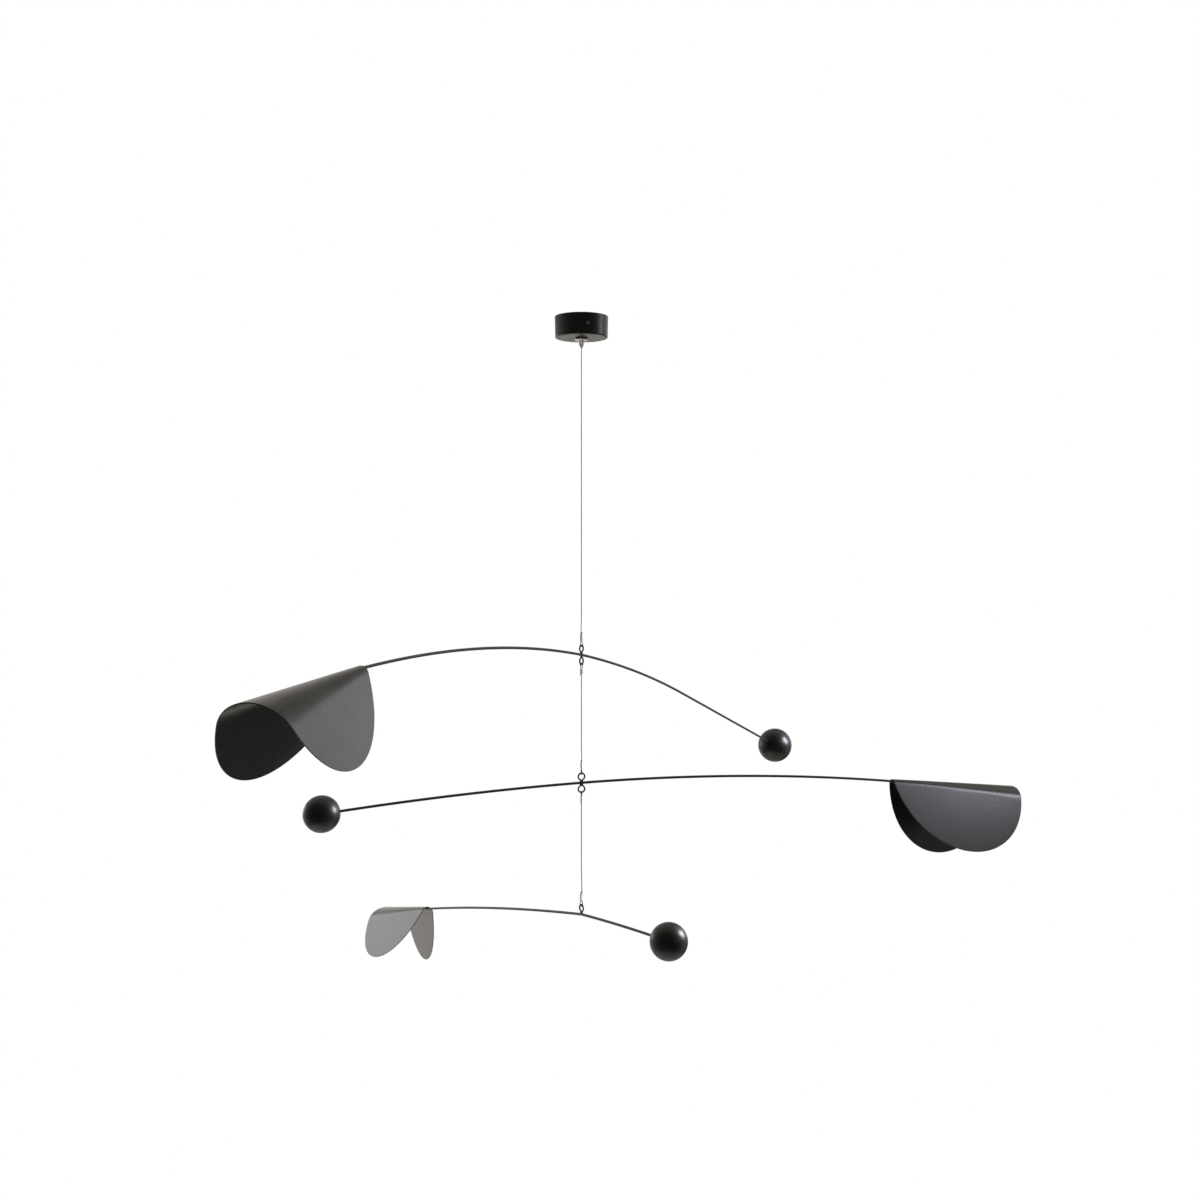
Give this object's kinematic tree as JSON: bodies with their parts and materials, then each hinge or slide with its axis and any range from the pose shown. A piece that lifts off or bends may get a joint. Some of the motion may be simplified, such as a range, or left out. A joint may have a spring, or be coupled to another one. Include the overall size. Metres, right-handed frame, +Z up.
{
  "type": "hanging mobile sculpture",
  "caption": "Hanging mobile in blackened steel: arched rods on thin wire ropes, each with a ball at one end and a folded round leaf at the other, below a small ceiling canopy.",
  "frame": {"origin": "the middle of the ceiling plate's top face, where the mobile is fixed to the ceiling", "axes": "+X to the right as the picture sees it, +Y away from its viewer, +Z up"},
  "size_m": [0.8962, 1.0375, 0.8543],
  "materials": {
    "black_paint": "satin black powder coat on the canopy",
    "zinc": "zinc plated",
    "nickel": "turned and nickel plated",
    "rope_steel": "drawn stainless strands, laid",
    "rod_black": "thin dark paint on drawn wire",
    "ball_black": "satin black paint",
    "leaf_grey": "satin grey-black paint on rolled sheet"
  },
  "bodies": {
    "ceiling_mount": {"ceiling_plate": "zinc", "canopy": "black_paint", "set_screw": "zinc", "cable_gripper": "nickel"},
    "upper_arm": {"top_rope": "rope_steel", "top_rope_ferrule": "rope_steel", "upper_top_eyelet": "rod_black", "upper_bottom_eyelet": "rod_black", "upper_rod": "rod_black", "upper_ball": "ball_black", "upper_leaf": "leaf_grey", "middle_rope_top_loop": "rope_steel", "middle_rope_top_ferrule": "rope_steel"},
    "middle_arm": {"middle_rope": "rope_steel", "middle_rope_ferrule": "rope_steel", "middle_top_eyelet": "rod_black", "middle_bottom_eyelet": "rod_black", "middle_rod": "rod_black", "middle_ball": "ball_black", "middle_leaf": "leaf_grey", "lower_rope_top_loop": "rope_steel", "lower_rope_top_ferrule": "rope_steel"},
    "lower_arm": {"lower_rope": "rope_steel", "lower_rope_ferrule": "rope_steel", "lower_eyelet": "rod_black", "lower_rod": "rod_black", "lower_ball": "ball_black", "lower_leaf": "leaf_grey"}
  },
  "joints": [
    {"name": "upper_swivel", "type": "hinge", "parent": "ceiling_mount", "child": "upper_arm", "pos_m": [0, 0, -0.387], "axis": [0, 0, 1], "continuous": true},
    {"name": "middle_swivel", "type": "hinge", "parent": "upper_arm", "child": "middle_arm", "pos_m": [0, 0, -0.5335], "axis": [0, 0, 1], "continuous": true},
    {"name": "lower_swivel", "type": "hinge", "parent": "middle_arm", "child": "lower_arm", "pos_m": [0, 0, -0.6841], "axis": [0, 0, 1], "continuous": true}
  ]
}
